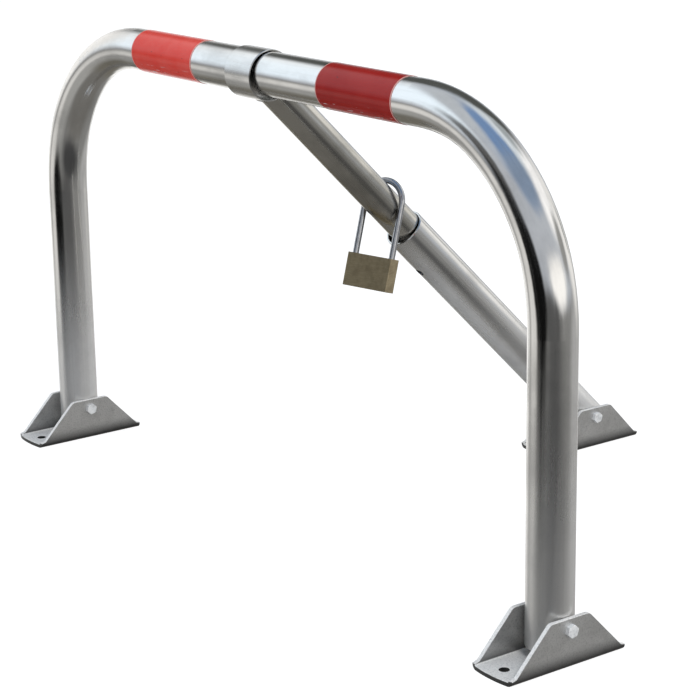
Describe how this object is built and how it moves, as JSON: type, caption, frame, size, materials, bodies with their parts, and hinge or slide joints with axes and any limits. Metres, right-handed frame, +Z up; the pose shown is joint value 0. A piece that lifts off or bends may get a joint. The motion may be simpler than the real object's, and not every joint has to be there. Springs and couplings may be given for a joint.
{
  "type": "parking barrier",
  "caption": "Fold-down parking barrier: a bent tube hoop on pivot feet, propped by a telescopic strut with a padlock.",
  "frame": {"origin": "on the ground, midway between the two front feet, at the centre of their four anchor holes", "axes": "+X along the bar, +Y back towards the rear foot, +Z up"},
  "size_m": [0.824, 0.522, 0.452],
  "materials": {
    "hoop_tube": "zinc plated, bright, with faint long streaks",
    "strut_tube": "zinc plated, slightly yellowed",
    "weld": "plated weld bead",
    "foot_plate": "zinc plated, matt",
    "bolt": "zinc plated",
    "nylon": "plain nylon",
    "tape_red": "red reflective tape",
    "tape_pale_red": "red reflective tape, lit brighter",
    "padlock_brass": "brushed",
    "shackle_steel": "plated, satin"
  },
  "bodies": {
    "feet": {"foot_left": "foot_plate", "pivot_bolt_left": "bolt", "lock_nut_left": "bolt", "nut_insert_left": "nylon", "foot_right": "foot_plate", "pivot_bolt_right": "bolt", "lock_nut_right": "bolt", "nut_insert_right": "nylon", "foot_rear": "foot_plate", "pivot_bolt_rear": "bolt", "lock_nut_rear": "bolt", "nut_insert_rear": "nylon"},
    "hoop": {"hoop_tube": "hoop_tube", "tape_left": "tape_pale_red", "tape_right": "tape_red"},
    "upper_strut": {"strut_sleeve": "strut_tube", "sleeve_weld": "weld", "strut_upper_tube": "strut_tube"},
    "lower_strut": {"strut_lower_tube": "strut_tube"},
    "padlock": {"padlock_case": "padlock_brass", "heel_pin": "shackle_steel"},
    "shackle": {"padlock_shackle": "shackle_steel"},
    "lock_plug": {"padlock_plug": "padlock_brass"}
  },
  "joints": [
    {"name": "hoop_fold", "type": "hinge", "parent": "feet", "child": "hoop", "pos_m": [0, 0, 0.033], "axis": [1, 0, 0], "range_deg": [0, 90]},
    {"name": "strut_foot_pivot", "type": "hinge", "parent": "feet", "child": "lower_strut", "pos_m": [-0.018, 0.397, 0.033], "axis": [1, 0, 0], "range_deg": [0, 45]},
    {"name": "sleeve_turn", "type": "hinge", "parent": "hoop", "child": "upper_strut", "pos_m": [-0.018, 0, 0.43], "axis": [1, 0, 0], "range_deg": [-45, 0]},
    {"name": "padlock_swing", "type": "hinge", "parent": "upper_strut", "child": "padlock", "pos_m": [-0.018, 0.14004, 0.28996], "axis": [0, 0.7071, -0.7071], "range_deg": [-90, 90]},
    {"name": "shackle_lift", "type": "slide", "parent": "padlock", "child": "shackle", "axis": [-0.0649, 0.2902, 0.9548], "range_m": [0, 0.008]},
    {"name": "plug_turn", "type": "hinge", "parent": "padlock", "child": "lock_plug", "pos_m": [-0.01307, 0.11617, 0.21187], "axis": [-0.0649, 0.2902, 0.9548], "range_deg": [0, 90]}
  ],
  "couplings": [
    {"joint": "strut_foot_pivot", "follows": "hoop_fold", "ratio": 0.5},
    {"joint": "sleeve_turn", "follows": "hoop_fold", "ratio": -0.5},
    {"joint": "padlock_swing", "follows": "hoop_fold", "ratio": -0.92}
  ]
}
